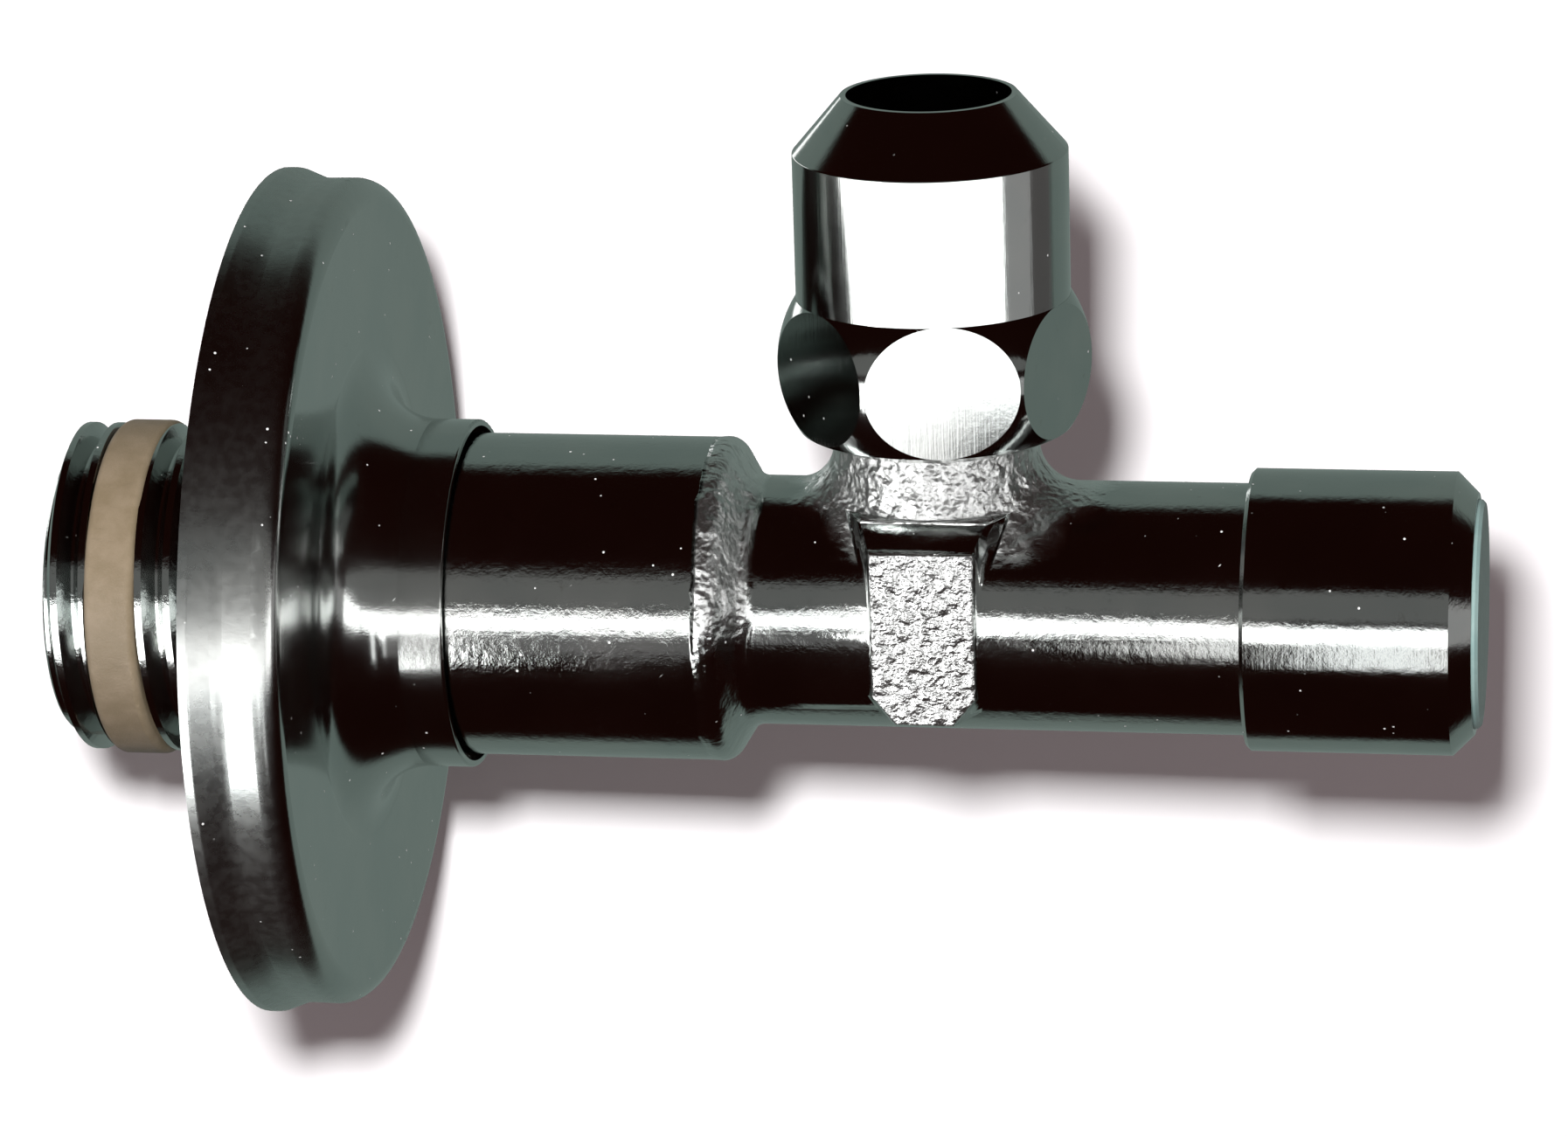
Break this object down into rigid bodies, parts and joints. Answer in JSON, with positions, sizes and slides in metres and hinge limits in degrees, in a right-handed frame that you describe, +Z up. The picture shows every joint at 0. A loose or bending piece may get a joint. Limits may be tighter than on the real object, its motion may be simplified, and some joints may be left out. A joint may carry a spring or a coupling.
{
  "type": "angle valve",
  "caption": "Chrome angle stop valve: threaded wall inlet with a plastic seal ring, sliding wall rosette, upward compression outlet for a small pipe, plain round turning handle.",
  "frame": {"origin": "on the axis of the inlet thread, in the wall plane where the rim of the rosette rests", "axes": "+X out of the wall along the valve to the handle, +Z up along the outlet to the pipe, -Y towards the side with the raised marking pad"},
  "size_m": [0.0895, 0.0538, 0.0596],
  "materials": {
    "chrome_plated_brass": "polished",
    "chrome_plated_sheet": "polished",
    "tan_plastic": "satin",
    "pale_plastic": "satin",
    "brass": "satin",
    "steel": "satin",
    "black_rubber": "matte",
    "fibre": "matte",
    "white_plastic": "satin"
  },
  "bodies": {
    "base": {"valve_body": "chrome_plated_brass", "inlet_seal_ring": "tan_plastic", "bonnet": "brass", "bonnet_gasket": "fibre"},
    "turning_handle": {"spindle": "brass", "spindle_o_ring_inner": "black_rubber", "spindle_o_ring_outer": "black_rubber", "thrust_washer": "white_plastic", "spindle_circlip": "steel", "handle": "chrome_plated_brass", "handle_screw": "steel", "handle_lock_washer": "steel", "handle_cap": "pale_plastic"},
    "valve_disc": {"disc_carrier": "brass", "seat_washer": "black_rubber", "seat_washer_plate": "brass", "seat_washer_screw": "brass"},
    "olive": {"compression_ring": "brass"},
    "nut": {"compression_nut": "chrome_plated_brass"},
    "wall_rosette": {"rosette": "chrome_plated_sheet"}
  },
  "joints": [
    {"name": "handle_turn", "type": "hinge", "parent": "base", "child": "turning_handle", "pos_m": [0.067, 0, 0], "axis": [1, 0, 0], "range_deg": [0, 900]},
    {"name": "disc_lift", "type": "slide", "parent": "base", "child": "valve_disc", "axis": [1, 0, 0], "range_m": [0, 0.00376]},
    {"name": "nut_lift", "type": "slide", "parent": "base", "child": "olive", "axis": [0, 0, 1], "range_m": [0, 0.0055]},
    {"name": "nut_turn", "type": "hinge", "parent": "olive", "child": "nut", "pos_m": [0.0421, 0, 0.016], "axis": [0, 0, 1], "range_deg": [0, 1986]},
    {"name": "rosette_slide", "type": "slide", "parent": "base", "child": "wall_rosette", "axis": [1, 0, 0], "range_m": [-0.01, 0.0135]}
  ],
  "couplings": [
    {"joint": "disc_lift", "follows": "handle_turn", "m_per_rad": 0.00023873},
    {"joint": "nut_turn", "follows": "nut_lift", "rad_per_m": 6283.2}
  ]
}
